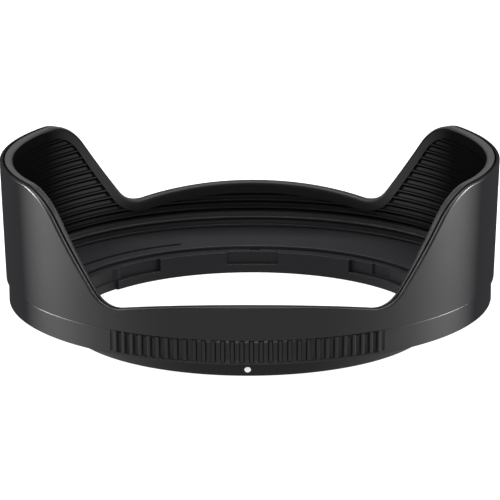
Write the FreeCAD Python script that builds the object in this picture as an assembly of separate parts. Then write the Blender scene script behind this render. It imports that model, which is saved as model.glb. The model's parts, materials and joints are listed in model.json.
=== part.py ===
import FreeCAD, Part
import math
import os

from FreeCAD import Vector

# Petal lens hood, in millimetres.
# Z is the optical axis and points to the front of the hood. The origin is the centre of
# the rear face. The tall petals stand on +X and -X, the short ones on +Y and -Y, and the
# index dot is on -Y. Angles are counted from +X, anticlockwise seen from the front.

# Petal outline, drawn on the unrolled outside wall as one quarter, from tall to short petal
OUTLINE_RADIUS = 50.4
TALL_HEIGHT = 35.5
CROWN_HEIGHT = 17.7
CROWN_RADIUS = 143.0
SHOULDER_RADIUS = 14.6
VALLEY_RADIUS = 7.0
SLOPE_ANGLE = 50.5
SLOPE_MIDDLE = 45.15
RIDGE_BORDER = 2.5
OUTLINE_STEP = 2.0

# Outer shell
SEAM_HEIGHT = 10.8
SEAM_RADIUS = 50.0
SHELL_FLARE = 0.0323
SHELL_WALL = 0.7
SHELL_SEAM_GAP = 0.1

# Ribbed liner, and the fine groove between its rim and the shell's
BOND_GAP = 0.05
RIDGE_CREST_RADIUS = 48.05
RIDGE_ROOT_RADIUS = 48.45
RIDGE_COUNT = 13
RIDGE_PITCH = 1.7
FIRST_RIDGE_HEIGHT = 11.87
RING_RIDGE_HEIGHT = 9.62
CREST_BELOW = 0.12
CREST_ABOVE = 0.08
RIDGE_FOOT_BELOW = 0.8
RIDGE_FOOT_ABOVE = 0.4
RIM_GROOVE_WIDTH = 0.3
RIM_GROOVE_DEPTH = 0.5

# Grip ring
GRIP_RADIUS = 49.5
GRIP_BOTTOM = 5.95
GRIP_LEDGE_TOP = 8.1
BEVEL_BOTTOM = 10.4
TONGUE_INNER_RADIUS = 48.8
TONGUE_OUTER_RADIUS = 49.1
TONGUE_HEIGHT = 0.8
KNURL_PITCH = 2.108
KNURL_RIB_COUNT = 30
KNURL_RIB_RADIUS = 49.95
KNURL_RIB_TOP_WIDTH = 0.62
KNURL_RIB_FOOT_WIDTH = 0.98
KNURL_FLOOR_RADIUS = 49.35
KNURL_BOTTOM = 6.45

# Mount ring: dished shoulder, bayonet wall and flared skirt
PLATE_RADIUS = 48.4
PLATE_EDGE_TOP = 7.5
LIP_RADIUS = 39.35
LIP_HEIGHT = 5.4
LEDGE_HEIGHT = 4.65
TRACK_RADIUS = 37.65
BORE_RADIUS = 36.65
FLANGE_THICKNESS = 1.9
ENTRY_RADIUS = 37.3
SKIRT_RADIUS = 37.55
SKIRT_TOP_RADIUS = 39.3
SKIRT_TOP_HEIGHT = 3.9
WEB_RADIUS = 40.9
WEB_HEIGHT = 3.95

# Bayonet features as start and end angles; each one is repeated half a turn further on
LUG_ANGLES = [(55.0, 81.5), (98.5, 123.0)]
ENTRY_ANGLES = (141.0, 176.0)
POCKET_ANGLES = (38.0, 46.5)
POCKET_RADIUS = 38.1
POCKET_BOTTOM = 2.4
NOTCH_ANGLES = (87.5, 91.0)
NOTCH_RADIUS = 38.6
NOTCH_BOTTOM = 4.1

# Click arms: the part of the bayonet wall that an arc slot frees to bend outwards
SLOT_ANGLES = (112.0, 156.0)
SLOT_INNER_RADIUS = 41.3
SLOT_OUTER_RADIUS = 42.0
ARM_ANGLES = (124.5, 155.3)
ARM_ROOT_GAP = 0.22
NUB_ANGLE = 140.0
NUB_RADIUS = 2.6
NUB_HEIGHT = 0.45

# Index dot
DOT_RADIUS = 0.64
DOT_DEPTH = 0.4
DOT_HEIGHT = 1.5

# Reach of the cutting bodies, clear of the hood on every side, and how far joined bodies overlap
OVERLAP = 0.1
INSIDE = 33.0
OUTSIDE = 56.0
ABOVE = 40.0
BELOW = -5.0


def shell_radius(height):
    """Outside radius of the slightly flared shell."""
    return SEAM_RADIUS + SHELL_FLARE * (height - SEAM_HEIGHT)


def outline_arcs():
    """Centres of the shoulder, valley and crown arcs, as (distance round, height)."""
    slope = math.radians(SLOPE_ANGLE)
    across, up = math.sin(slope), math.cos(slope)
    middle = (OUTLINE_RADIUS * math.radians(SLOPE_MIDDLE), (TALL_HEIGHT + CROWN_HEIGHT) / 2)
    quarter = OUTLINE_RADIUS * math.pi / 2
    shoulder_height = TALL_HEIGHT - SHOULDER_RADIUS
    shoulder_across = middle[0] - (SHOULDER_RADIUS + up * (shoulder_height - middle[1])) / across
    crown = (quarter, CROWN_HEIGHT - CROWN_RADIUS)
    # The valley arc touches the slope line and the crown arc from outside
    start = (middle[0] + VALLEY_RADIUS * across, middle[1] + VALLEY_RADIUS * up)
    offset = (start[0] - crown[0], start[1] - crown[1])
    half_b = offset[0] * up - offset[1] * across
    c = offset[0] ** 2 + offset[1] ** 2 - (CROWN_RADIUS + VALLEY_RADIUS) ** 2
    along = -half_b - math.sqrt(half_b ** 2 - c)
    valley = (start[0] + along * up, start[1] - along * across)
    return (shoulder_across, shoulder_height), valley, crown, middle


def outline_height(degrees, inset=0.0):
    """Height of the petal edge at an angle, or of a line that runs inset below the edge."""
    folded = abs((degrees + 90.0) % 180.0 - 90.0)
    distance = OUTLINE_RADIUS * math.radians(folded)
    shoulder, valley, crown, middle = outline_arcs()
    slope = math.radians(SLOPE_ANGLE)
    valley_radius = VALLEY_RADIUS + inset
    crown_radius = CROWN_RADIUS - inset
    shoulder_radius = SHOULDER_RADIUS - inset
    to_crown = math.atan2(crown[0] - valley[0], valley[1] - crown[1])
    if distance < shoulder[0]:
        return TALL_HEIGHT - inset
    if distance < shoulder[0] + shoulder_radius * math.sin(slope):
        return shoulder[1] + math.sqrt(shoulder_radius ** 2 - (distance - shoulder[0]) ** 2)
    if distance < valley[0] - valley_radius * math.sin(slope):
        drop = (distance - middle[0]) * math.tan(slope)
        return middle[1] - drop - inset / math.cos(slope)
    if distance < valley[0] + valley_radius * math.sin(to_crown):
        return valley[1] - math.sqrt(valley_radius ** 2 - (distance - valley[0]) ** 2)
    return crown[1] + math.sqrt(crown_radius ** 2 - (distance - crown[0]) ** 2)


def outline_breaks(inset):
    """Angles all the way round at which one arc or line of the edge meets the next."""
    shoulder, valley, crown, _ = outline_arcs()
    slope = math.radians(SLOPE_ANGLE)
    to_crown = math.atan2(crown[0] - valley[0], valley[1] - crown[1])
    distances = [
        shoulder[0],
        shoulder[0] + (SHOULDER_RADIUS - inset) * math.sin(slope),
        valley[0] - (VALLEY_RADIUS + inset) * math.sin(slope),
        valley[0] + (VALLEY_RADIUS + inset) * math.sin(to_crown),
    ]
    quarter = [math.degrees(distance / OUTLINE_RADIUS) for distance in distances]
    half = [0.0] + quarter + [90.0] + [180.0 - angle for angle in reversed(quarter)]
    return half + [180.0 + angle for angle in half] + [360.0]


def outline_curve(start, end, radius, inset):
    """One arc or line of the petal edge, wrapped round at a given radius."""
    steps = max(4, round((end - start) / OUTLINE_STEP))
    points = []
    for step in range(steps + 1):
        degrees = start + (end - start) * step / steps
        angle = math.radians(degrees)
        height = outline_height(degrees, inset)
        points.append(Vector(radius * math.cos(angle), radius * math.sin(angle), height))
    curve = Part.BSplineCurve()
    curve.interpolate(Points=points)
    return curve.toShape()


def above_outline(inset=0.0):
    """Everything in the wall region above the petal edge."""
    breaks = outline_breaks(inset)
    blocks = []
    for start, end in zip(breaks[:-1], breaks[1:]):
        inner = outline_curve(start, end, INSIDE, inset)
        outer = outline_curve(start, end, OUTSIDE, inset)
        surface = Part.makeRuledSurface(inner, outer)
        blocks.append(surface.extrude(Vector(0, 0, ABOVE)))
    return blocks[0].fuse(blocks[1:])


def ring(profile):
    """Solid turned about the optical axis from (radius, height) corners."""
    corners = [Vector(radius, 0, height) for radius, height in profile]
    wire = Part.makePolygon(corners + corners[:1])
    return Part.Face(wire).revolve(Vector(0, 0, 0), Vector(0, 0, 1), 360)


def sector(angles, radii, heights):
    """Part of a flat ring between two angles."""
    start, end = angles
    inner, outer = radii
    low, high = heights
    base = Vector(0, 0, low)
    up = Vector(0, 0, 1)
    slice_angle = end - start
    disc = Part.makeCylinder(outer, high - low, base, up, slice_angle)
    hole = Part.makeCylinder(inner, high - low, base, up, slice_angle)
    piece = disc.cut(hole)
    piece.rotate(Vector(0, 0, 0), up, start)
    return piece


def twin(piece):
    """The same feature half a turn further round."""
    other = piece.copy()
    other.rotate(Vector(0, 0, 0), Vector(0, 0, 1), 180)
    return other


def both(piece):
    """A feature and its twin as one tool."""
    return Part.makeCompound([piece, twin(piece)])


def ridge(height):
    """One light-trap ridge: a long slope below the crest and a short one above it."""
    root = RIDGE_ROOT_RADIUS + OVERLAP
    return ring([
        (root, height - RIDGE_FOOT_BELOW),
        (RIDGE_CREST_RADIUS, height - CREST_BELOW),
        (RIDGE_CREST_RADIUS, height + CREST_ABOVE),
        (root, height + RIDGE_FOOT_ABOVE),
    ])


def make_outer_shell():
    bottom = SEAM_HEIGHT + SHELL_SEAM_GAP
    wall = ring([
        (shell_radius(bottom) - SHELL_WALL, bottom),
        (shell_radius(bottom), bottom),
        (shell_radius(ABOVE), ABOVE),
        (shell_radius(ABOVE) - SHELL_WALL, ABOVE),
    ])
    return wall.cut(above_outline())


def make_inner_liner():
    bottom = SEAM_HEIGHT + BOND_GAP
    tongue_top = bottom + TONGUE_HEIGHT + 2 * BOND_GAP
    clearance = SHELL_WALL + BOND_GAP
    wall = ring([
        (RIDGE_ROOT_RADIUS, bottom),
        (TONGUE_INNER_RADIUS - BOND_GAP, bottom),
        (TONGUE_INNER_RADIUS - BOND_GAP, tongue_top),
        (shell_radius(tongue_top) - clearance, tongue_top),
        (shell_radius(ABOVE) - clearance, ABOVE),
        (RIDGE_ROOT_RADIUS, ABOVE),
    ])
    crest_layer = ring([
        (RIDGE_CREST_RADIUS, bottom),
        (RIDGE_ROOT_RADIUS + OVERLAP, bottom),
        (RIDGE_ROOT_RADIUS + OVERLAP, ABOVE),
        (RIDGE_CREST_RADIUS, ABOVE),
    ])
    # The smooth border is as thick as the ridges, which run into it and end there
    border = crest_layer.common(above_outline(RIDGE_BORDER))
    ridges = [ridge(FIRST_RIDGE_HEIGHT + RIDGE_PITCH * index) for index in range(RIDGE_COUNT)]
    liner = wall.fuse([border] + ridges)
    liner = liner.cut(above_outline())
    groove = ring([
        (shell_radius(bottom) - clearance - RIM_GROOVE_WIDTH, bottom),
        (OUTSIDE, bottom),
        (OUTSIDE, ABOVE),
        (shell_radius(ABOVE) - clearance - RIM_GROOVE_WIDTH, ABOVE),
    ])
    return liner.cut(groove.common(above_outline(RIM_GROOVE_DEPTH)))


def knurl_band(middle_angle):
    """Recess for one knurled stretch, cut from the seam down to near the ring's lower edge."""
    corners = [
        (KNURL_FLOOR_RADIUS, KNURL_BOTTOM),
        (KNURL_FLOOR_RADIUS, BEVEL_BOTTOM),
        (TONGUE_OUTER_RADIUS, SEAM_HEIGHT),
        (SEAM_RADIUS, SEAM_HEIGHT),
        (SEAM_RADIUS, KNURL_BOTTOM),
    ]
    foot_angle = math.degrees(KNURL_RIB_FOOT_WIDTH / KNURL_FLOOR_RADIUS)
    span = KNURL_PITCH * (KNURL_RIB_COUNT + 1) - foot_angle
    wire = Part.makePolygon([Vector(radius, 0, height) for radius, height in corners + corners[:1]])
    band = Part.Face(wire).revolve(Vector(0, 0, 0), Vector(0, 0, 1), span)
    band.rotate(Vector(0, 0, 0), Vector(0, 0, 1), middle_angle - span / 2)
    return band


def knurl_ribs(middle_angle):
    """Row of axial ribs, flush with the shell above them, on the floor of the recess."""
    foot = KNURL_RIB_FOOT_WIDTH / 2
    crest = KNURL_RIB_TOP_WIDTH / 2
    root = KNURL_FLOOR_RADIUS - OVERLAP
    corners = [
        Vector(root, -foot, KNURL_BOTTOM - OVERLAP),
        Vector(KNURL_FLOOR_RADIUS, -foot, KNURL_BOTTOM - OVERLAP),
        Vector(KNURL_RIB_RADIUS, -crest, KNURL_BOTTOM - OVERLAP),
        Vector(KNURL_RIB_RADIUS, crest, KNURL_BOTTOM - OVERLAP),
        Vector(KNURL_FLOOR_RADIUS, foot, KNURL_BOTTOM - OVERLAP),
        Vector(root, foot, KNURL_BOTTOM - OVERLAP),
    ]
    face = Part.Face(Part.makePolygon(corners + corners[:1]))
    ribs = []
    for index in range(KNURL_RIB_COUNT):
        angle = middle_angle + KNURL_PITCH * (index - (KNURL_RIB_COUNT - 1) / 2)
        rib = face.extrude(Vector(0, 0, SEAM_HEIGHT - KNURL_BOTTOM + OVERLAP))
        rib.rotate(Vector(0, 0, 0), Vector(0, 0, 1), angle)
        ribs.append(rib)
    return ribs


def make_grip_ring():
    body = ring([
        (PLATE_RADIUS + BOND_GAP, GRIP_BOTTOM),
        (GRIP_RADIUS, GRIP_BOTTOM),
        (GRIP_RADIUS, BEVEL_BOTTOM),
        (TONGUE_OUTER_RADIUS, SEAM_HEIGHT),
        (TONGUE_OUTER_RADIUS, SEAM_HEIGHT + TONGUE_HEIGHT),
        (TONGUE_INNER_RADIUS, SEAM_HEIGHT + TONGUE_HEIGHT),
        (TONGUE_INNER_RADIUS, SEAM_HEIGHT),
        (RIDGE_ROOT_RADIUS, SEAM_HEIGHT),
        (RIDGE_ROOT_RADIUS, GRIP_LEDGE_TOP),
        (RIDGE_CREST_RADIUS, GRIP_LEDGE_TOP),
        (RIDGE_CREST_RADIUS, PLATE_EDGE_TOP + BOND_GAP),
        (PLATE_RADIUS + BOND_GAP, PLATE_EDGE_TOP + BOND_GAP),
    ])
    body = body.fuse(ridge(RING_RIDGE_HEIGHT))
    bands = Part.makeCompound([knurl_band(-90.0), knurl_band(90.0)])
    body = body.cut(bands)
    return body.fuse(knurl_ribs(-90.0) + knurl_ribs(90.0))


def bayonet_body():
    """Mount ring before the click arms are parted from it."""
    body = ring([
        (BORE_RADIUS, 0.0),
        (SKIRT_RADIUS, 0.0),
        (SKIRT_TOP_RADIUS, SKIRT_TOP_HEIGHT),
        (WEB_RADIUS, WEB_HEIGHT),
        (PLATE_RADIUS, GRIP_BOTTOM),
        (PLATE_RADIUS, PLATE_EDGE_TOP),
        (LIP_RADIUS, LIP_HEIGHT),
        (LIP_RADIUS, LEDGE_HEIGHT),
        (TRACK_RADIUS, LEDGE_HEIGHT),
        (TRACK_RADIUS, FLANGE_THICKNESS),
        (BORE_RADIUS, FLANGE_THICKNESS),
    ])
    lug_radii = (BORE_RADIUS, TRACK_RADIUS + OVERLAP)
    lug_heights = (FLANGE_THICKNESS - OVERLAP, LEDGE_HEIGHT)
    lugs = []
    for angles in LUG_ANGLES:
        lug = sector(angles, lug_radii, lug_heights)
        lugs += [lug, twin(lug)]
    body = body.fuse(lugs)
    entry = sector(ENTRY_ANGLES, (INSIDE, ENTRY_RADIUS), (BELOW, LEDGE_HEIGHT))
    pocket = sector(POCKET_ANGLES, (INSIDE, POCKET_RADIUS), (POCKET_BOTTOM, LEDGE_HEIGHT))
    notch = sector(NOTCH_ANGLES, (NOTCH_RADIUS, LIP_RADIUS), (NOTCH_BOTTOM, LEDGE_HEIGHT))
    for tool in (entry, pocket, notch):
        body = body.cut(both(tool))
    return body


def arm_space(angles, outer_radius):
    """Wedge of the bayonet wall, up to a given radius."""
    return sector(angles, (INSIDE, outer_radius), (BELOW, ABOVE))


def make_mount_ring():
    root = ARM_ANGLES[0] - ARM_ROOT_GAP
    slot = sector(SLOT_ANGLES, (SLOT_INNER_RADIUS, SLOT_OUTER_RADIUS), (BELOW, ABOVE))
    space = arm_space((root, SLOT_ANGLES[1]), SLOT_OUTER_RADIUS)
    mount = bayonet_body().cut(both(slot))
    mount = mount.cut(both(space))
    return mount.cut(dot_cutter(DOT_DEPTH + BOND_GAP, DOT_RADIUS + BOND_GAP))


def make_click_arm(turned):
    """Sector of bayonet wall with the round nub that clicks into the lens."""
    arm = bayonet_body().common(arm_space(ARM_ANGLES, SLOT_INNER_RADIUS))
    reach = TRACK_RADIUS - NUB_HEIGHT + NUB_RADIUS
    angle = math.radians(NUB_ANGLE)
    bottom = FLANGE_THICKNESS - OVERLAP
    centre = Vector(reach * math.cos(angle), reach * math.sin(angle), bottom)
    nub = Part.makeCylinder(NUB_RADIUS, LEDGE_HEIGHT - bottom, centre, Vector(0, 0, 1))
    arm = arm.fuse(nub.common(arm_space(ARM_ANGLES, TRACK_RADIUS + OVERLAP)))
    if turned:
        arm = twin(arm)
    return arm


def dot_cutter(depth, radius):
    """Round peg square to the flared skirt, at the index position."""
    flare = (SKIRT_TOP_RADIUS - SKIRT_RADIUS) / SKIRT_TOP_HEIGHT
    outward = Vector(0, -1, -flare).normalize()
    face_point = Vector(0, -(SKIRT_RADIUS + flare * DOT_HEIGHT), DOT_HEIGHT)
    start = face_point - outward * depth
    return Part.makeCylinder(radius, 2 * depth, start, outward)


def make_index_dot():
    peg = dot_cutter(DOT_DEPTH, DOT_RADIUS)
    return peg.common(bayonet_body())


def export(name, shape):
    solids = shape.removeSplitter().Solids
    if len(solids) != 1:
        print(name, "has", len(solids), "solids")
    solid = solids[0]
    print(f"{name:16s} valid {solid.isValid()} volume {solid.Volume:9.2f}")
    solid.exportStep(os.path.join("parts", name + ".step"))


os.makedirs("parts", exist_ok=True)
export("outer_shell", make_outer_shell())
export("inner_liner", make_inner_liner())
export("grip_ring", make_grip_ring())
export("mount_ring", make_mount_ring())
export("click_arm_rear", make_click_arm(False))
export("click_arm_front", make_click_arm(True))
export("index_dot", make_index_dot())
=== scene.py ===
import json
import math

import bmesh
import bpy
from mathutils import Matrix, Vector


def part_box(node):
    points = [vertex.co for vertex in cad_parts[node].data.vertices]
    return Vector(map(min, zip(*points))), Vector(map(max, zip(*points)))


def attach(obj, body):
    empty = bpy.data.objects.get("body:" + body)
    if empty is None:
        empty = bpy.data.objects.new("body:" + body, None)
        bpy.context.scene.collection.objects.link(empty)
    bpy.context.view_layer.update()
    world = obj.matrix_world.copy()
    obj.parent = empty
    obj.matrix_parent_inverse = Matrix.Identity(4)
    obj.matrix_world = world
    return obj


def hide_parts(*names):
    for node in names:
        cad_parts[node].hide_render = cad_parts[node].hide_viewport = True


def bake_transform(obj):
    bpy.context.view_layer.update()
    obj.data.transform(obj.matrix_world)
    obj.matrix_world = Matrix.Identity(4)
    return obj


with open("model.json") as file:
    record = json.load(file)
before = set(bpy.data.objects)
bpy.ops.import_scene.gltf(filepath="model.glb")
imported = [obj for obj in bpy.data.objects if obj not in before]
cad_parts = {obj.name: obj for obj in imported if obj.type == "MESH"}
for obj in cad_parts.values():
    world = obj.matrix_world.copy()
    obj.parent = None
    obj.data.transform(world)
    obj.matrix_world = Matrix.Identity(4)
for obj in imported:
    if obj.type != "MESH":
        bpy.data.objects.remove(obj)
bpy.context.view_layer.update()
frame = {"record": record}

# Shape dimensions are in millimetres and angles in degrees. A mesh is scaled to metres when
# its object is made. Z is the optical axis. Angles are counted from +X, anticlockwise seen
# from the front; the tall petals are on +X and -X and the index dot is on -Y.
MM = 0.001


def lowest(node):
    """Lowest corner of a CAD node's box, in millimetres."""
    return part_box(node)[0] / MM


def highest(node):
    """Highest corner of a CAD node's box, in millimetres."""
    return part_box(node)[1] / MM


# Heights and radii that the frame gives
TALL_HEIGHT = highest("outer_shell").z
SHELL_BOTTOM = lowest("outer_shell").z
LINER_BOTTOM = lowest("inner_liner").z
GRIP_BOTTOM = lowest("grip_ring").z
PLATE_RADIUS = highest("mount_ring").x
PLATE_EDGE_TOP = highest("mount_ring").z
BORE_RADIUS = frame["record"]["mounts"][0]["dims"]["r_mm"]
LEDGE_HEIGHT = frame["record"]["mounts"][0]["dims"]["length_mm"]

# Petal outline, drawn on the unrolled outside wall as one quarter, from tall to short petal
OUTLINE_RADIUS = 50.4
CROWN_HEIGHT = 17.7
CROWN_RADIUS = 143.0
SHOULDER_RADIUS = 14.6
VALLEY_RADIUS = 7.0
SLOPE_ANGLE = 50.5
SLOPE_MIDDLE = 45.15

# Outer shell. The profile of its rim reaches down to the rim's depth, and the one of its foot
# up to the foot's height.
SEAM_HEIGHT = 10.8
SEAM_RADIUS = 50.0
SHELL_FLARE = 0.0323
SHELL_WALL = 0.7
SHELL_EDGE_ROUND = 0.4
SHELL_RIM_DEPTH = 3.0
SHELL_FOOT_HEIGHT = 1.0
BOND_GAP = 0.05

# Liner: light-trap ridges, the smooth border above them, and the fine groove along the rim.
# A ridge's feet and crest corners are offsets from the height that it is made at.
RIDGE_CREST_RADIUS = 48.05
RIDGE_ROOT_RADIUS = 48.45
RIDGE_COUNT = 13
RIDGE_PITCH = 1.7
FIRST_RIDGE_HEIGHT = 11.87
RING_RIDGE_HEIGHT = 9.62
RIDGE_FEET = (-0.72, 0.36)
RIDGE_CORNERS = (-0.12, 0.08)
RIDGE_ROUNDS = (0.1, 0.08)
RIDGE_BORDER = 2.5
RIM_GROOVE_WIDTH = 0.3
RIM_GROOVE_DEPTH = 0.5
# Depth below the petal edge down to which the liner takes the rim's material: smoother, and
# lighter as painted light on the rim band
RIM_SMOOTH_PAINTED_LIGHT_DEPTH = 0.35
LINER_BACK_DEPTH = 1.0
LINER_OUTER_ROUND = 0.15
LINER_INNER_ROUND = 0.8

# Grip ring, the bevel along its top edge and its two knurled stretches. The recesses end in a
# short step below the bevel, given as heights below its start, and the hold points keep the
# flats on both sides of its start flat when shaded.
GRIP_RADIUS = 49.5
GRIP_LEDGE_TOP = 8.1
GRIP_LEDGE_ROUND = 0.1
GRIP_EDGE_ROUND = 0.2
BEVEL_BOTTOM = 10.6
BEVEL_DEPTH = 0.09
DEEP_BEVEL_BOTTOM = 10.35
DEEP_BEVEL_DEPTH = 0.17
RECESS_STEP = (0.12, 0.1, 0.04)
BEVEL_HOLDS = (0.01, 0.03)
TONGUE_INNER_RADIUS = 48.8
TONGUE_OUTER_RADIUS = 49.1
TONGUE_HEIGHT = 0.8
KNURL_MIDDLES = (-90.0, 90.0)
KNURL_RECESS_COUNT = 31
KNURL_PITCH = 2.108
KNURL_BOTTOM = 6.4
KNURL_RAMP = 0.3
KNURL_RAMP_STEPS = 4
KNURL_RIB_RADIUS = 49.95
KNURL_RIB_BEVEL = 0.08
KNURL_RIB_ROUND = 0.2
KNURL_FLOOR_RADIUS = 49.35
KNURL_FLOOR_ROUND = 0.06
KNURL_FLAT_WALL = 0.08
KNURL_HALF_FLOOR = 0.42
KNURL_HALF_OPENING = 0.6

# Mount ring: dished shoulder and lip, bayonet wall, flared skirt and underside
LIP_RADIUS = 39.35
LIP_HEIGHT = 5.4
LIP_ROUND = 0.22
LEDGE_ROUND = 0.15
FLANGE_THICKNESS = 1.9
FLANGE_ROUND_SHARE = 0.4
TRACK_RADIUS = 37.65
ENTRY_RADIUS = 37.3
SKIRT_RADIUS = 37.55
SKIRT_TOP_RADIUS = 39.3
SKIRT_TOP_HEIGHT = 3.9
SKIRT_FOOT_ROUND = 0.18
SKIRT_TOP_ROUND = 0.3
SKIRT_BEND_HEIGHT = 3.0
WEB_RADIUS = 40.9
WEB_HEIGHT = 3.95
LUG_ANGLES = ((55.0, 81.5), (98.5, 123.0))
ENTRY_ANGLES = (141.0, 176.0)
POCKET_ANGLES = (38.0, 46.5)
POCKET_RADIUS = 38.1
POCKET_BOTTOM = 2.4
POCKET_FLOOR = 0.05
NOTCH_ANGLES = (87.5, 91.0)
NOTCH_RADIUS = 38.6
NOTCH_BOTTOM = 4.1
NOTCH_WALL = 0.3
FLANK_TURN = 0.3
FLANK_STEPS = 6
FOLD_MARGIN = 20.0

# Click arms and the arc slots that free them
SLOT_ANGLES = (112.0, 156.0)
SLOT_INNER_RADIUS = 41.3
SLOT_OUTER_RADIUS = 42.0
SLOT_MIDDLE_RADIUS = (SLOT_INNER_RADIUS + SLOT_OUTER_RADIUS) / 2
SLOT_HALF_WIDTH = (SLOT_OUTER_RADIUS - SLOT_INNER_RADIUS) / 2
SLOT_END_SHARES = (0.03, 0.12, 0.25, 0.45, 0.7, 1.0)
ARM_ROOT_ANGLE = 124.28
ARM_TIP_ANGLE = 155.3
NUB_ANGLE = 140.0
NUB_RADIUS = 2.6
NUB_HEIGHT = 0.45
NUB_STEPS = 10
NUB_STEP_ANGLE = 0.22

# Index dot: its rings are given as (share of the radius, height above the skirt), and the skirt
# under it has rows of its own
DOT_RADIUS = 0.64
DOT_HEIGHT = 1.5
DOT_ANGLE = 270.0
DOT_CROWN = 0.05
DOT_RINGS = ((0.35, 0.05), (0.7, 0.045), (0.9, 0.035), (0.98, 0.02), (1.0, -0.1))
DOT_SIDES = 32
DOT_ROWS = 8
DOT_SPAN = 1.1

# Rounding of moulded corners that have no size of their own, distance of the hold points from
# an arc, and the least offset that keeps two corners apart
SMALL_ROUND = 0.12
HOLD = 0.02
APART = 0.02

# Angle between profiles round the axis, the least angle kept between two of them, and the
# angle above which an edge is shaded sharp
FINE_STEP = 0.5
COARSE_STEP = 1.0
LEAST_STEP = 0.02
FACET_ANGLE = 32.0

# Mesh clean-up, in metres
JOIN_DISTANCE = 2e-6
CLOSED_EDGE = 1e-6

# Floor and light, in metres and watts. A light is its name, azimuth, elevation, distance,
# width and height, and power.
LIGHTS = (
    ("strip_left", -105.0, 3.0, 0.8, (0.2, 0.1), 22.0),
    ("strip_right", 105.0, 3.0, 0.8, (0.2, 0.1), 22.0),
    ("side_left", -98.0, 42.0, 0.8, (0.35, 0.35), 5.5),
    ("side_right", 98.0, 42.0, 0.8, (0.35, 0.35), 5.5),
    ("back", 180.0, 26.0, 0.6, (0.6, 0.2), 0.6),
    ("front", 0.0, 20.0, 1.2, (0.8, 0.2), 10.0),
    ("overhead", 180.0, 84.0, 1.1, (0.8, 0.8), 24.0),
)
LIGHT_TARGET_HEIGHT = 0.02
WORLD_STRENGTH = 0.12
FLOOR_REACH = 6.0
FLOOR_GREY = 0.15

# Camera: a long lens in front of the hood and a little above it; the clip range is in metres
CAMERA_DISTANCE = 600.0
CAMERA_ELEVATION = 15.27
CAMERA_TURN = 0.81
CAMERA_ROLL = -0.23
CAMERA_TARGET_HEIGHT = 15.14
CAMERA_SENSOR = 36.0
CAMERA_LENS = 210.3
CAMERA_CLIP = (0.05, 30.0)


class Shape:
    """Points and faces in millimetres, collected piece by piece and made into one object."""

    def __init__(self):
        self.points = []
        self.faces = []

    def row(self, points):
        """Adds a row of points and gives their indices."""
        start = len(self.points)
        self.points += [tuple(point) for point in points]
        return list(range(start, len(self.points)))

    def strip(self, first, second, closed):
        """Quads between two rows of the same length."""
        count = len(first)
        for index in range(count if closed else count - 1):
            following = (index + 1) % count
            self.faces.append((first[index], first[following], second[following], second[index]))

    def loft(self, rows, closed=True, joined=False):
        """Strips between the rows in turn; joined adds one from the last row to the first."""
        for first, second in zip(rows[:-1], rows[1:]):
            self.strip(first, second, closed)
        if joined:
            self.strip(rows[-1], rows[0], closed)

    def make(self, name, body, material):
        """Object that rides on a body, or on none where no body is given."""
        mesh = bpy.data.meshes.new(name)
        scaled = [[coordinate * MM for coordinate in point] for point in self.points]
        mesh.from_pydata(scaled, [], self.faces)
        clean(mesh)
        mesh.materials.append(material)
        mesh.shade_smooth()
        mesh.set_sharp_from_angle(angle=math.radians(FACET_ANGLE))
        piece = bpy.data.objects.new(name, mesh)
        bpy.context.scene.collection.objects.link(piece)
        if body:
            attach(piece, body)
        return piece


def clean(mesh):
    """Joins points that coincide, drops faces that have closed up and turns the rest outwards."""
    work = bmesh.new()
    work.from_mesh(mesh)
    bmesh.ops.remove_doubles(work, verts=work.verts, dist=JOIN_DISTANCE)
    bmesh.ops.dissolve_degenerate(work, edges=work.edges, dist=CLOSED_EDGE)
    bmesh.ops.recalc_face_normals(work, faces=work.faces)
    work.to_mesh(mesh)
    work.free()


def wrap(radius, degrees, height):
    """Point at a radius, an angle round the axis and a height."""
    angle = math.radians(degrees)
    return (radius * math.cos(angle), radius * math.sin(angle), height)


def rounded(corners, steps=4):
    """Open outline through (x, y, rounding) corners, with an arc at each rounded one.

    A point close to each end of an arc keeps the flats beside it flat when shaded. The first
    and last corners have no rounding.
    """
    points = []
    for index, (x, y, rounding) in enumerate(corners):
        here = Vector((x, y))
        if rounding == 0:
            points.append((x, y))
            continue
        before = (Vector(corners[index - 1][:2]) - here).normalized()
        after = (Vector(corners[index + 1][:2]) - here).normalized()
        half = before.angle(after) / 2
        reach = rounding / math.tan(half)
        centre = here + (before + after).normalized() * rounding / math.sin(half)
        start = here + before * reach - centre
        end = here + after * reach - centre
        points.append(tuple(here + before * (reach + HOLD)))
        for step in range(steps + 1):
            points.append(tuple(centre + start.slerp(end, step / steps) * rounding))
        points.append(tuple(here + after * (reach + HOLD)))
    return points


def smooth(share):
    """Eased step from 0 to 1."""
    share = min(1.0, max(0.0, share))
    return share * share * (3.0 - 2.0 * share)


def spread(start, end, step, extra=()):
    """Angles from start to end, evenly spaced, with extra ones where detail needs them."""
    count = max(1, round((end - start) / step))
    even = [start + (end - start) * index / count for index in range(count + 1)]
    inside = [angle for angle in extra if start < angle < end]
    kept = [angle for angle in even if all(abs(angle - other) > LEAST_STEP for other in inside)]
    return sorted(set(kept) | set(inside) | {start, end})


# Petal outline


def shell_radius(height):
    """Outside radius of the slightly flared shell."""
    return SEAM_RADIUS + SHELL_FLARE * (height - SEAM_HEIGHT)


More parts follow.
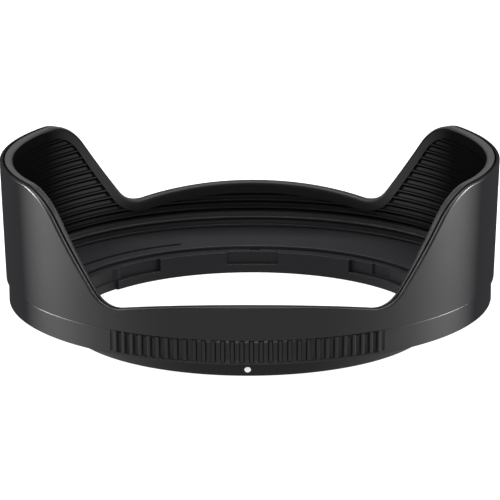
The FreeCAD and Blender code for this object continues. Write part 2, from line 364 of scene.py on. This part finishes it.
def outline_arcs():
    """Centres of the shoulder, valley and crown arcs and the middle of the straight slope."""
    slope = math.radians(SLOPE_ANGLE)
    across, up = math.sin(slope), math.cos(slope)
    middle = (OUTLINE_RADIUS * math.radians(SLOPE_MIDDLE), (TALL_HEIGHT + CROWN_HEIGHT) / 2)
    quarter = OUTLINE_RADIUS * math.pi / 2
    shoulder_height = TALL_HEIGHT - SHOULDER_RADIUS
    shoulder_across = middle[0] - (SHOULDER_RADIUS + up * (shoulder_height - middle[1])) / across
    crown = (quarter, CROWN_HEIGHT - CROWN_RADIUS)
    # The valley arc touches the slope line and the crown arc from outside
    start = (middle[0] + VALLEY_RADIUS * across, middle[1] + VALLEY_RADIUS * up)
    offset = (start[0] - crown[0], start[1] - crown[1])
    half_b = offset[0] * up - offset[1] * across
    c = offset[0] ** 2 + offset[1] ** 2 - (CROWN_RADIUS + VALLEY_RADIUS) ** 2
    along = -half_b - math.sqrt(half_b ** 2 - c)
    valley = (start[0] + along * up, start[1] - along * across)
    return (shoulder_across, shoulder_height), valley, crown, middle


SHOULDER, VALLEY, CROWN, SLOPE_CENTRE = outline_arcs()


def outline_height(degrees, inset):
    """Height, at an angle, of the line that runs a fixed distance below the petal edge."""
    folded = abs((degrees + 90.0) % 180.0 - 90.0)
    distance = OUTLINE_RADIUS * math.radians(folded)
    slope = math.radians(SLOPE_ANGLE)
    valley_radius = VALLEY_RADIUS + inset
    crown_radius = CROWN_RADIUS - inset
    shoulder_radius = SHOULDER_RADIUS - inset
    to_crown = math.atan2(CROWN[0] - VALLEY[0], VALLEY[1] - CROWN[1])
    if distance < SHOULDER[0]:
        return TALL_HEIGHT - inset
    if distance < SHOULDER[0] + shoulder_radius * math.sin(slope):
        return SHOULDER[1] + math.sqrt(shoulder_radius ** 2 - (distance - SHOULDER[0]) ** 2)
    if distance < VALLEY[0] - valley_radius * math.sin(slope):
        drop = (distance - SLOPE_CENTRE[0]) * math.tan(slope)
        return SLOPE_CENTRE[1] - drop - inset / math.cos(slope)
    if distance < VALLEY[0] + valley_radius * math.sin(to_crown):
        return VALLEY[1] - math.sqrt(valley_radius ** 2 - (distance - VALLEY[0]) ** 2)
    return CROWN[1] + math.sqrt(crown_radius ** 2 - (distance - CROWN[0]) ** 2)


# Materials


GRAIN_DEPTH = 0.04
GLOSS_PATCH = 14.0
GLOSS_SPREAD = 0.02
NOISE_RANGE = (0.3, 0.7)
EVEN_GLOSS = (0.0, 0.0, 1.0)


def plastic(name, colour, roughness, specular, grain, grain_size, tone, matte=EVEN_GLOSS):
    """Moulded plastic: fine spark-eroded grain, slow gloss variation and a little mottling.

    Grain hides gloss where the surface is seen edge on. matte is the share of the gloss lost
    there, and the edge-on shares where the loss starts and where it is full.
    """
    material = bpy.data.materials.new(name)
    material.use_nodes = True
    nodes = material.node_tree.nodes
    links = material.node_tree.links
    shader = nodes["Principled BSDF"]
    shader.inputs["Specular IOR Level"].default_value = specular
    place = nodes.new("ShaderNodeTexCoord")

    fine = nodes.new("ShaderNodeTexNoise")
    fine.inputs["Scale"].default_value = 1.0 / (grain_size * MM)
    fine.inputs["Detail"].default_value = 3.0
    fine.inputs["Roughness"].default_value = 0.6
    links.new(place.outputs["Object"], fine.inputs["Vector"])
    bump = nodes.new("ShaderNodeBump")
    bump.inputs["Strength"].default_value = grain
    bump.inputs["Distance"].default_value = GRAIN_DEPTH * MM
    links.new(fine.outputs["Fac"], bump.inputs["Height"])
    links.new(bump.outputs["Normal"], shader.inputs["Normal"])

    slow = nodes.new("ShaderNodeTexNoise")
    slow.inputs["Scale"].default_value = 1.0 / (GLOSS_PATCH * MM)
    slow.inputs["Detail"].default_value = 4.0
    links.new(place.outputs["Object"], slow.inputs["Vector"])
    gloss = nodes.new("ShaderNodeMapRange")
    gloss.inputs["From Min"].default_value = NOISE_RANGE[0]
    gloss.inputs["From Max"].default_value = NOISE_RANGE[1]
    gloss.inputs["To Min"].default_value = roughness - GLOSS_SPREAD
    gloss.inputs["To Max"].default_value = roughness + GLOSS_SPREAD
    links.new(slow.outputs["Fac"], gloss.inputs["Value"])
    links.new(gloss.outputs["Result"], shader.inputs["Roughness"])

    loss, start, full = matte
    if loss > 0.0:
        edge_on = nodes.new("ShaderNodeLayerWeight")
        edge_on.inputs["Blend"].default_value = 0.5
        hidden = nodes.new("ShaderNodeMapRange")
        hidden.interpolation_type = "SMOOTHSTEP"
        hidden.inputs["From Min"].default_value = start
        hidden.inputs["From Max"].default_value = full
        hidden.inputs["To Min"].default_value = specular
        hidden.inputs["To Max"].default_value = specular * (1.0 - loss)
        links.new(edge_on.outputs["Facing"], hidden.inputs["Value"])
        links.new(hidden.outputs["Result"], shader.inputs["Specular IOR Level"])

    mottle = nodes.new("ShaderNodeMix")
    mottle.data_type = "RGBA"
    mottle.inputs["A"].default_value = [value * (1.0 - tone) for value in colour] + [1.0]
    mottle.inputs["B"].default_value = [value * (1.0 + tone) for value in colour] + [1.0]
    links.new(fine.outputs["Fac"], mottle.inputs["Factor"])
    links.new(mottle.outputs["Result"], shader.inputs["Base Color"])
    return material


SHELL_PLASTIC = plastic(
    "shell_plastic", (0.007, 0.007, 0.0075), roughness=0.36, specular=0.15,
    grain=0.2, grain_size=0.22, tone=0.3, matte=(1.0, 0.33, 0.66),
)
LINER_BLACK = plastic(
    "liner_black", (0.0012, 0.0012, 0.0012), roughness=0.7, specular=0.11,
    grain=0.2, grain_size=0.3, tone=0.3, matte=(1.0, 0.1, 0.5),
)
# Rim band of the liner: smoother than the liner, and five times lighter in base colour as painted
# light from above on the up-facing rim
RIM_SMOOTH_PAINTED_LIGHT = plastic(
    "rim_smooth_painted_light", (0.006, 0.006, 0.006), roughness=0.4, specular=0.11,
    grain=0.15, grain_size=0.25, tone=0.3,
)
MOUNT_PLASTIC = plastic(
    "mount_plastic", (0.007, 0.007, 0.008), roughness=0.45, specular=0.1,
    grain=0.15, grain_size=0.25, tone=0.2,
)
DOT_PAINT = plastic(
    "dot_paint", (0.75, 0.75, 0.73), roughness=0.5, specular=0.4,
    grain=0.1, grain_size=0.2, tone=0.03,
)


# Outer shell


def make_outer_shell():
    """Thin flared wall whose upper edge follows the petal outline."""
    bottom = SHELL_BOTTOM
    rim = rounded([
        (0.0, SHELL_RIM_DEPTH, 0.0),
        (0.0, 0.0, SHELL_EDGE_ROUND),
        (SHELL_WALL, 0.0, SMALL_ROUND),
        (SHELL_WALL, SHELL_RIM_DEPTH, 0.0),
    ], steps=6)
    foot = rounded([
        (SHELL_WALL, bottom + SHELL_FOOT_HEIGHT, 0.0),
        (SHELL_WALL, bottom, SMALL_ROUND),
        (0.0, bottom, SMALL_ROUND),
        (0.0, bottom + SHELL_FOOT_HEIGHT, 0.0),
    ])
    shape = Shape()
    rows = []
    for degrees in spread(0.0, 360.0, FINE_STEP)[:-1]:
        points = []
        for inward, inset in rim:
            height = outline_height(degrees, inset)
            points.append(wrap(shell_radius(height) - inward, degrees, height))
        for inward, height in foot:
            points.append(wrap(shell_radius(height) - inward, degrees, height))
        rows.append(shape.row(points))
    shape.loft(rows, joined=True)
    piece = shape.make("shell_body", "hood", SHELL_PLASTIC)
    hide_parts("outer_shell")


# Ribbed liner


def ridge_profile(height):
    """One ridge from root to root: a long slope below the crest and a short one above it."""
    return rounded([
        (RIDGE_ROOT_RADIUS, height + RIDGE_FEET[0], 0.0),
        (RIDGE_CREST_RADIUS, height + RIDGE_CORNERS[0], RIDGE_ROUNDS[0]),
        (RIDGE_CREST_RADIUS, height + RIDGE_CORNERS[1], RIDGE_ROUNDS[1]),
        (RIDGE_ROOT_RADIUS, height + RIDGE_FEET[1], 0.0),
    ], steps=2)


def radius_at(profile, height):
    """Radius of an open profile, sorted by height, at one height."""
    for (low_radius, low), (high_radius, high) in zip(profile[:-1], profile[1:]):
        if low <= height <= high:
            share = (height - low) / (high - low) if high > low else 0.0
            return low_radius + (high_radius - low_radius) * share
    return profile[-1][0]


def make_inner_liner():
    """Ribbed wall, smooth border and rim, drawn as one closed profile at each angle."""
    bottom = LINER_BOTTOM
    clearance = SHELL_WALL + BOND_GAP
    tongue_top = bottom + TONGUE_HEIGHT + 2 * BOND_GAP
    groove_floor = clearance + RIM_GROOVE_WIDTH
    ribbed = [(RIDGE_ROOT_RADIUS, bottom)]
    for index in range(RIDGE_COUNT):
        ribbed += ridge_profile(FIRST_RIDGE_HEIGHT + RIDGE_PITCH * index)
    ribbed.append((RIDGE_ROOT_RADIUS, TALL_HEIGHT))
    shape = Shape()
    rows = []
    for degrees in spread(0.0, 360.0, FINE_STEP)[:-1]:
        border = outline_height(degrees, RIDGE_BORDER)
        points = []
        for _, height in ribbed:
            height = min(height, border)
            points.append((radius_at(ribbed, height), height))
        wall = shell_radius(outline_height(degrees, 0.0))
        thickness = wall - groove_floor - RIDGE_CREST_RADIUS
        rim = rounded([
            (thickness, RIDGE_BORDER, 0.0),
            (thickness, 0.0, LINER_INNER_ROUND),
            (0.0, 0.0, LINER_OUTER_ROUND),
            (0.0, RIM_GROOVE_DEPTH, 0.0),
        ], steps=6)
        for inward, inset in rim:
            height = outline_height(degrees, inset)
            points.append((wall - groove_floor - inward, height))
        for inset in (RIM_GROOVE_DEPTH, LINER_BACK_DEPTH):
            height = outline_height(degrees, inset)
            points.append((shell_radius(height) - clearance, height))
        points += [
            (shell_radius(tongue_top) - clearance, tongue_top),
            (TONGUE_INNER_RADIUS - BOND_GAP, tongue_top),
            (TONGUE_INNER_RADIUS - BOND_GAP, bottom),
        ]
        rows.append(shape.row(wrap(radius, degrees, height) for radius, height in points))
    shape.loft(rows, joined=True)
    piece = shape.make("ribbed_liner", "hood", LINER_BLACK)
    # The rim is moulded smooth, and its material is also a lighter copy of the liner's black:
    # painted light from above on the up-facing rim band. Everything below it is matt and darker
    piece.data.materials.append(RIM_SMOOTH_PAINTED_LIGHT)
    for face in piece.data.polygons:
        place = face.center / MM
        degrees = math.degrees(math.atan2(place.y, place.x))
        if place.z > outline_height(degrees, RIM_SMOOTH_PAINTED_LIGHT_DEPTH):
            face.material_index = 1
    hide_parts("inner_liner")


# Grip ring


def knurl_side(level):
    """Half a recess, from the flat beside it to its middle, as (distance, radius)."""
    half_pitch = math.radians(KNURL_PITCH) * GRIP_RADIUS / 2
    share = (level - KNURL_FLOOR_RADIUS) / (KNURL_RIB_RADIUS - KNURL_FLOOR_RADIUS)
    opening = KNURL_HALF_FLOOR + (KNURL_HALF_OPENING - KNURL_HALF_FLOOR) * share
    rib_round = min(KNURL_RIB_ROUND, level - KNURL_FLOOR_RADIUS - KNURL_FLAT_WALL)
    return rounded([
        (half_pitch, level, 0.0),
        (opening, level, rib_round),
        (KNURL_HALF_FLOOR, KNURL_FLOOR_RADIUS, KNURL_FLOOR_ROUND),
        (0.0, KNURL_FLOOR_RADIUS, 0.0),
    ], steps=3)


def grip_columns():
    """(angle, outside radius) all the way round; the ribs stand proud of the plain ring."""
    columns = []
    reach = KNURL_PITCH * KNURL_RECESS_COUNT / 2
    last = KNURL_RECESS_COUNT - 1
    for middle in KNURL_MIDDLES:
        for index in range(KNURL_RECESS_COUNT):
            centre = middle + KNURL_PITCH * (index - last / 2)
            before = knurl_side(GRIP_RADIUS if index == 0 else KNURL_RIB_RADIUS)
            after = knurl_side(GRIP_RADIUS if index == last else KNURL_RIB_RADIUS)
            for distance, radius in before:
                columns.append((centre - math.degrees(distance / GRIP_RADIUS), radius))
            for distance, radius in reversed(after[:-1]):
                columns.append((centre + math.degrees(distance / GRIP_RADIUS), radius))
        plain = spread(middle + reach, middle + 180.0 - reach, COARSE_STEP)
        columns += [(angle, GRIP_RADIUS) for angle in plain[1:-1]]
    return columns


def grip_outside(level):
    """Outside of the ring at one column, from its lower edge to the seam and the tongue.

    The bevel under the seam deepens above the recesses and fades to a small one on the ribs,
    which are flush with the shell.
    """
    points = rounded([
        (PLATE_RADIUS + BOND_GAP, GRIP_BOTTOM, 0.0),
        (GRIP_RADIUS, GRIP_BOTTOM, GRIP_EDGE_ROUND),
        (GRIP_RADIUS, KNURL_BOTTOM, 0.0),
    ])
    for step in range(1, KNURL_RAMP_STEPS + 1):
        radius = GRIP_RADIUS + (level - GRIP_RADIUS) * smooth(step / KNURL_RAMP_STEPS)
        points.append((radius, KNURL_BOTTOM + KNURL_RAMP * step / KNURL_RAMP_STEPS))
    rib = min(1.0, max(0.0, (level - GRIP_RADIUS) / (KNURL_RIB_RADIUS - GRIP_RADIUS)))
    deep = min(1.0, max(0.0, (GRIP_RADIUS - level) / (GRIP_RADIUS - KNURL_FLOOR_RADIUS)))
    start = BEVEL_BOTTOM + (SEAM_HEIGHT - KNURL_RIB_BEVEL - BEVEL_BOTTOM) * rib
    start += (DEEP_BEVEL_BOTTOM - BEVEL_BOTTOM) * deep
    edge = max(level, GRIP_RADIUS)
    end = edge - BEVEL_DEPTH + (BEVEL_DEPTH - KNURL_RIB_BEVEL) * rib
    end -= (DEEP_BEVEL_DEPTH - BEVEL_DEPTH) * deep
    lean = (edge - end) / (SEAM_HEIGHT - start)
    flat_end, step_start, step_end = RECESS_STEP
    near, far = BEVEL_HOLDS
    points += [
        (level, start - flat_end),
        (level, start - step_start),
        (edge, start - step_end),
        (edge, start - near),
        (edge - near * lean, start + near),
        (edge - far * lean, start + far),
        (end, SEAM_HEIGHT),
        (TONGUE_OUTER_RADIUS, SEAM_HEIGHT),
    ]
    return points


def make_grip_ring():
    """Knurled ring with a tongue above it, one light-trap ridge and a ledge inside."""
    ledge = PLATE_EDGE_TOP + BOND_GAP
    inner = PLATE_RADIUS + BOND_GAP
    inside = [
        (TONGUE_OUTER_RADIUS, SEAM_HEIGHT + TONGUE_HEIGHT),
        (TONGUE_INNER_RADIUS, SEAM_HEIGHT + TONGUE_HEIGHT),
        (TONGUE_INNER_RADIUS, SEAM_HEIGHT),
        (RIDGE_ROOT_RADIUS, SEAM_HEIGHT),
    ]
    inside += reversed(ridge_profile(RING_RIDGE_HEIGHT))
    inside += rounded([
        (RIDGE_ROOT_RADIUS, GRIP_LEDGE_TOP, 0.0),
        (RIDGE_CREST_RADIUS, GRIP_LEDGE_TOP, GRIP_LEDGE_ROUND),
        (RIDGE_CREST_RADIUS, ledge, GRIP_LEDGE_ROUND),
        (inner, ledge, 0.0),
    ], steps=3)
    shape = Shape()
    rows = []
    for degrees, level in grip_columns():
        points = grip_outside(level) + inside
        rows.append(shape.row(wrap(radius, degrees, height) for radius, height in points))
    shape.loft(rows, joined=True)
    piece = shape.make("knurled_ring", "hood", SHELL_PLASTIC)
    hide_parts("grip_ring")


# Mount ring and click arms


def inside_of(degrees, angles):
    """1 within a feature, 0 outside it, with a short steep flank at each end."""
    start, end = angles
    folded = (degrees - start + FOLD_MARGIN) % 180.0 - FOLD_MARGIN
    rise = smooth(folded / FLANK_TURN)
    fall = smooth((end - start - folded) / FLANK_TURN)
    return rise * fall


def nub_radius(degrees):
    """Inside radius of the round nub on a click arm, or the track's where there is no nub."""
    turn = math.radians((degrees - NUB_ANGLE + 90.0) % 180.0 - 90.0)
    reach = TRACK_RADIUS - NUB_HEIGHT + NUB_RADIUS
    across = reach * math.sin(turn)
    if abs(across) >= NUB_RADIUS:
        return TRACK_RADIUS
    return min(TRACK_RADIUS, reach * math.cos(turn) - math.sqrt(NUB_RADIUS ** 2 - across ** 2))


def web_height(radius):
    """Height of the underside between the skirt and the plate's edge."""
    share = (radius - WEB_RADIUS) / (PLATE_RADIUS - WEB_RADIUS)
    return WEB_HEIGHT + (GRIP_BOTTOM - WEB_HEIGHT) * share


def dish_height(radius):
    """Height of the dished shoulder."""
    share = (radius - LIP_RADIUS) / (PLATE_RADIUS - LIP_RADIUS)
    return LIP_HEIGHT + (PLATE_EDGE_TOP - LIP_HEIGHT) * share


def skirt_radius(height):
    """Outside radius of the flared skirt."""
    return SKIRT_RADIUS + (SKIRT_TOP_RADIUS - SKIRT_RADIUS) * height / SKIRT_TOP_HEIGHT


def inner_chain(degrees, slot_radius):
    """Profile of the bayonet wall from the dish, down the inside and out under the web."""
    lug = max(inside_of(degrees, angles) for angles in LUG_ANGLES)
    entry = inside_of(degrees, ENTRY_ANGLES)
    pocket = inside_of(degrees, POCKET_ANGLES)
    notch = inside_of(degrees, NOTCH_ANGLES)
    bore = BORE_RADIUS + (ENTRY_RADIUS - BORE_RADIUS) * entry
    wall = nub_radius(degrees)
    track = wall + (bore - wall) * lug
    high_track = track + (POCKET_RADIUS - TRACK_RADIUS) * pocket
    ledge = LEDGE_HEIGHT
    sunk = ledge - (ledge - NOTCH_BOTTOM) * notch
    notch_edge = max(NOTCH_RADIUS, high_track + NOTCH_WALL)
    flange_edge = max(track, bore + APART)
    chain = rounded([
        (slot_radius, dish_height(slot_radius), 0.0),
        (LIP_RADIUS, LIP_HEIGHT, LIP_ROUND),
        (LIP_RADIUS, sunk, 0.0),
    ])
    chain += [(notch_edge + APART, sunk), (notch_edge, ledge)]
    chain += rounded([
        (notch_edge, ledge, 0.0),
        (high_track, ledge, LEDGE_ROUND),
        (high_track, POCKET_BOTTOM, 0.0),
    ], steps=3)[1:]
    chain += [(track, POCKET_BOTTOM - POCKET_FLOOR)]
    chain += rounded([
        (flange_edge, FLANGE_THICKNESS, 0.0),
        (bore, FLANGE_THICKNESS, min(SMALL_ROUND, FLANGE_ROUND_SHARE * (flange_edge - bore))),
        (bore, 0.0, SMALL_ROUND),
        (SKIRT_RADIUS, 0.0, SKIRT_FOOT_ROUND),
        (SKIRT_TOP_RADIUS, SKIRT_TOP_HEIGHT, 0.0),
    ], steps=3)[:-1]
    for index in range(DOT_ROWS + 1):
        height = DOT_HEIGHT + DOT_SPAN * (2 * index / DOT_ROWS - 1)
        chain.append((skirt_radius(height), height))
    chain += rounded([
        (skirt_radius(SKIRT_BEND_HEIGHT), SKIRT_BEND_HEIGHT, 0.0),
        (SKIRT_TOP_RADIUS, SKIRT_TOP_HEIGHT, SKIRT_TOP_ROUND),
        (WEB_RADIUS, WEB_HEIGHT, 0.0),
        (slot_radius, web_height(slot_radius), 0.0),
    ])[1:]
    return chain


def outer_chain(slot_radius):
    """Profile of the rest of the plate, from the underside, round its edge and up the dish."""
    return rounded([
        (slot_radius, web_height(slot_radius), 0.0),
        (PLATE_RADIUS, GRIP_BOTTOM, SMALL_ROUND),
        (PLATE_RADIUS, PLATE_EDGE_TOP, SMALL_ROUND),
        (slot_radius, dish_height(slot_radius), 0.0),
    ], steps=3)


def slot_radii(degrees, end):
    """Inner and outer radius of an arc slot, drawn together into a round end."""
    half = SLOT_HALF_WIDTH
    distance = SLOT_MIDDLE_RADIUS * math.radians(abs(degrees - end))
    if distance < half:
        width = math.sqrt(half ** 2 - (half - distance) ** 2)
        return SLOT_MIDDLE_RADIUS - width, SLOT_MIDDLE_RADIUS + width
    return SLOT_INNER_RADIUS, SLOT_OUTER_RADIUS


def feature_angles():
    """Angles at which the profile changes quickly."""
    found = []
    for start, end in LUG_ANGLES + (ENTRY_ANGLES, POCKET_ANGLES, NOTCH_ANGLES):
        for step in range(FLANK_STEPS + 1):
            turn = FLANK_TURN * step / FLANK_STEPS
            found += [start + turn, end - turn]
    for step in range(-NUB_STEPS, NUB_STEPS + 1):
        found.append(NUB_ANGLE + NUB_STEP_ANGLE * step)
    found = [angle + half for angle in found for half in (0.0, 180.0, -180.0, 360.0)]
    return found + dot_angles()


def dot_angles():
    """Close-set angles over the index dot."""
    span = math.degrees(DOT_SPAN / skirt_radius(DOT_HEIGHT))
    return [DOT_ANGLE + span * (2 * index / DOT_ROWS - 1) for index in range(DOT_ROWS + 1)]


def lay(shape, chain, degrees):
    """Adds a profile to a shape at one angle."""
    return shape.row(wrap(radius, degrees, height) for radius, height in chain)


def slot_end_angles(end):
    """Close-set angles over the round end of a slot."""
    return [
        end + math.degrees(SLOT_HALF_WIDTH * share / SLOT_MIDDLE_RADIUS)
        for share in SLOT_END_SHARES
    ]


def make_mount_ring():
    """The ring in two halves, each a full stretch and one that the slot parts from its arm."""
    shape = Shape()
    slot_start, slot_end = SLOT_ANGLES
    for turn in (0.0, 180.0):
        full_start = slot_end - 180.0 + turn
        full_end = slot_start + turn
        rows = []
        for degrees in spread(full_start, full_end, COARSE_STEP, feature_angles()):
            inner, outer = SLOT_INNER_RADIUS, SLOT_OUTER_RADIUS
            if degrees == full_end:
                inner, outer = slot_radii(degrees, full_end)
            chain = inner_chain(degrees, inner) + outer_chain(outer)
            rows.append(lay(shape, chain, degrees))
        shape.loft(rows)
        # End of the full stretch beside the click arm's tip
        inner_count = len(inner_chain(full_start, SLOT_INNER_RADIUS))
        first = rows[0]
        shape.faces.append(tuple(first[:inner_count + 1] + first[-1:]))
        extra = slot_end_angles(full_end)
        stop = ARM_ROOT_ANGLE + turn
        wall_rows = []
        for degrees in spread(full_end, stop, COARSE_STEP, extra + feature_angles()):
            inner, _ = slot_radii(degrees, full_end)
            wall_rows.append(lay(shape, inner_chain(degrees, inner), degrees))
        shape.loft(wall_rows)
        shape.faces.append(tuple(reversed(wall_rows[-1])))
        plate_rows = []
        for degrees in spread(full_end, slot_end + turn, COARSE_STEP, extra):
            _, outer = slot_radii(degrees, full_end)
            plate_rows.append(lay(shape, outer_chain(outer), degrees))
        shape.loft(plate_rows)
    piece = shape.make("bayonet_ring", "hood", MOUNT_PLASTIC)
    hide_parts("mount_ring")


def make_click_arm(node, name, turn):
    """Stretch of bayonet wall inside the slot, from the arm's root angle to its tip angle."""
    shape = Shape()
    rows = []
    root = ARM_ROOT_ANGLE + turn
    tip = ARM_TIP_ANGLE + turn
    for degrees in spread(root, tip, COARSE_STEP, feature_angles()):
        rows.append(lay(shape, inner_chain(degrees, SLOT_INNER_RADIUS), degrees))
    shape.loft(rows)
    shape.faces.append(tuple(rows[0]))
    shape.faces.append(tuple(reversed(rows[-1])))
    piece = shape.make(name, None, MOUNT_PLASTIC)
    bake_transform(piece)
    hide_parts(node)


# Index dot


def make_index_dot():
    """Slightly domed disc of paint, wrapped on the skirt."""
    shape = Shape()
    middle = shape.row([wrap(skirt_radius(DOT_HEIGHT) + DOT_CROWN, DOT_ANGLE, DOT_HEIGHT)])
    rings = []
    for share, proud in DOT_RINGS:
        points = []
        for step in range(DOT_SIDES):
            angle = math.tau * step / DOT_SIDES
            height = DOT_HEIGHT + DOT_RADIUS * share * math.sin(angle)
            radius = skirt_radius(height)
            across = math.degrees(DOT_RADIUS * share * math.cos(angle) / radius)
            points.append(wrap(radius + proud, DOT_ANGLE + across, height))
        rings.append(shape.row(points))
    first = rings[0]
    for index in range(DOT_SIDES):
        shape.faces.append((middle[0], first[index], first[(index + 1) % DOT_SIDES]))
    shape.loft(rings)
    piece = shape.make("dot_paint", "hood", DOT_PAINT)
    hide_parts("index_dot")


make_outer_shell()
make_inner_liner()
make_grip_ring()
make_mount_ring()
make_click_arm("click_arm_rear", "flex_arm_rear", 0.0)
make_click_arm("click_arm_front", "flex_arm_front", 180.0)
make_index_dot()


# Floor, light and camera


def make_floor():
    """Pale floor, a little self-lit as a light table is."""
    mesh = bpy.data.meshes.new("floor")
    reach = FLOOR_REACH
    corners = [(-reach, -reach, 0), (reach, -reach, 0), (reach, reach, 0), (-reach, reach, 0)]
    mesh.from_pydata(corners, [], [(0, 1, 2, 3)])
    floor = bpy.data.objects.new("floor", mesh)
    bpy.context.scene.collection.objects.link(floor)
    material = bpy.data.materials.new("floor_pale")
    material.use_nodes = True
    shader = material.node_tree.nodes["Principled BSDF"]
    shader.inputs["Base Color"].default_value = (FLOOR_GREY, FLOOR_GREY, FLOOR_GREY, 1.0)
    shader.inputs["Roughness"].default_value = 0.9
    shader.inputs["Specular IOR Level"].default_value = 0.1
    shader.inputs["Emission Color"].default_value = (1.0, 1.0, 1.0, 1.0)
    shader.inputs["Emission Strength"].default_value = 1.0
    mesh.materials.append(material)


def softbox(name, azimuth, elevation, distance, size, power):
    """Area light that faces the hood from a direction; azimuth 0 is the camera's side."""
    turn, rise = math.radians(azimuth), math.radians(elevation)
    away = Vector((
        math.sin(turn) * math.cos(rise),
        -math.cos(turn) * math.cos(rise),
        math.sin(rise),
    ))
    data = bpy.data.lights.new(name, "AREA")
    data.shape = "RECTANGLE"
    data.size, data.size_y = size
    data.energy = power
    light = bpy.data.objects.new(name, data)
    light.location = away * distance + Vector((0, 0, LIGHT_TARGET_HEIGHT))
    light.rotation_mode = "QUATERNION"
    light.rotation_quaternion = (-away).to_track_quat("-Z", "Y")
    bpy.context.scene.collection.objects.link(light)


def make_light():
    """Even white surroundings and the softboxes."""
    world = bpy.data.worlds.new("studio")
    world.use_nodes = True
    background = world.node_tree.nodes["Background"]
    background.inputs["Color"].default_value = (1.0, 1.0, 1.0, 1.0)
    background.inputs["Strength"].default_value = WORLD_STRENGTH
    bpy.context.scene.world = world
    for light in LIGHTS:
        softbox(*light)


def make_camera():
    """Looks down at the hood from its index side, at the photograph's angle."""
    target = Vector((0.0, 0.0, CAMERA_TARGET_HEIGHT)) * MM
    data = bpy.data.cameras.new("camera")
    data.sensor_width = CAMERA_SENSOR
    data.lens = CAMERA_LENS
    data.clip_start, data.clip_end = CAMERA_CLIP
    camera = bpy.data.objects.new("camera", data)
    elevation = math.radians(CAMERA_ELEVATION)
    back = Vector((0.0, -math.cos(elevation), math.sin(elevation)))
    back.rotate(Matrix.Rotation(math.radians(CAMERA_TURN), 3, "Z"))
    camera.location = target + back * CAMERA_DISTANCE * MM
    camera.rotation_mode = "QUATERNION"
    look = (-back).to_track_quat("-Z", "Y")
    tilt = Matrix.Rotation(math.radians(CAMERA_ROLL), 3, "Z").to_quaternion()
    camera.rotation_quaternion = look @ tilt
    bpy.context.scene.collection.objects.link(camera)
    bpy.context.scene.camera = camera


make_floor()
make_light()
make_camera()
bpy.context.scene.view_settings.view_transform = "Standard"
